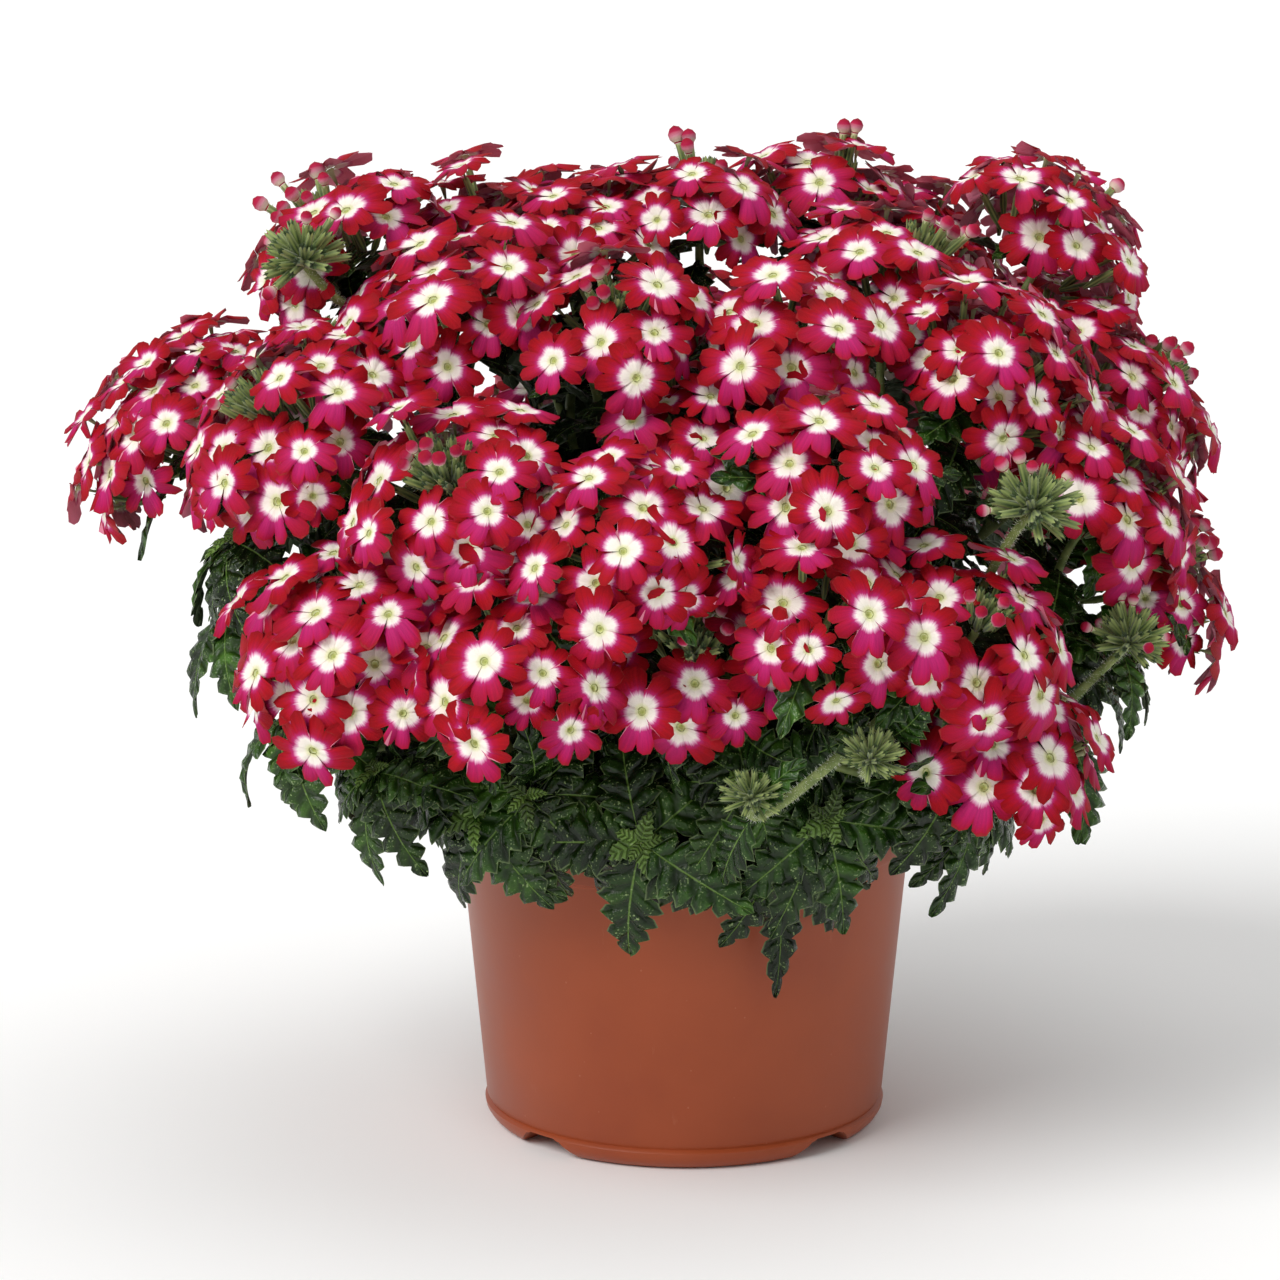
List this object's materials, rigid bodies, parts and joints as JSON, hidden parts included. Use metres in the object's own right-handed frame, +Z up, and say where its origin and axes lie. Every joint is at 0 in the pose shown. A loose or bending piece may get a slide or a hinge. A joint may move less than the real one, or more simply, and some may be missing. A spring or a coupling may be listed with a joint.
{
  "type": "potted verbena plant",
  "caption": "Bushy verbena in flower: domed heads of white-eyed florets over toothed leaves, in a tapered terracotta-coloured plastic pot that stands on low feet.",
  "frame": {"origin": "middle of the whole plant's footprint, on the surface that the pot stands on", "axes": "+Z up; -Y towards the side that the picture shows, +X to its right"},
  "size_m": [0.3184, 0.2858, 0.2744],
  "materials": {
    "terracotta_plastic": "satin",
    "peat": "matt, crumbly",
    "leaf": "rugose, slightly glossy",
    "petal": "velvety"
  },
  "bodies": {
    "root": {"pot": "terracotta_plastic", "potting_soil": "peat", "leafy_stem_01": "leaf", "leafy_stem_02": "leaf", "leafy_stem_03": "leaf", "leafy_stem_04": "leaf", "leafy_stem_05": "leaf", "leafy_stem_06": "leaf", "leafy_stem_07": "leaf", "leafy_stem_08": "leaf", "leafy_stem_09": "leaf", "leafy_stem_10": "leaf", "leafy_stem_11": "leaf", "leafy_stem_12": "leaf", "leafy_stem_13": "leaf", "leafy_stem_14": "leaf", "leafy_stem_15": "leaf", "leafy_stem_16": "leaf", "leafy_stem_17": "leaf", "leafy_stem_18": "leaf", "leafy_stem_19": "leaf", "flower_head_01": "petal", "flower_head_02": "petal", "flower_head_03": "petal", "flower_head_04": "petal", "flower_head_05": "petal", "flower_head_06": "petal", "flower_head_07": "petal", "flower_head_08": "petal", "flower_head_09": "petal", "flower_head_10": "petal", "flower_head_11": "petal", "flower_head_12": "petal", "flower_head_13": "petal", "flower_head_14": "petal", "flower_head_15": "petal", "flower_head_16": "petal", "flower_head_17": "petal", "flower_head_18": "petal", "flower_head_19": "petal", "flower_head_20": "petal", "flower_head_21": "petal", "flower_head_22": "petal", "flower_head_23": "petal", "flower_head_24": "petal", "flower_head_25": "petal", "flower_head_26": "petal", "flower_head_27": "petal", "flower_head_28": "petal", "flower_head_29": "petal", "flower_head_30": "petal", "flower_head_31": "petal", "flower_head_32": "petal", "flower_head_33": "petal", "flower_head_34": "petal", "flower_head_35": "petal", "flower_head_36": "petal", "flower_head_37": "petal"}
  },
  "joints": []
}
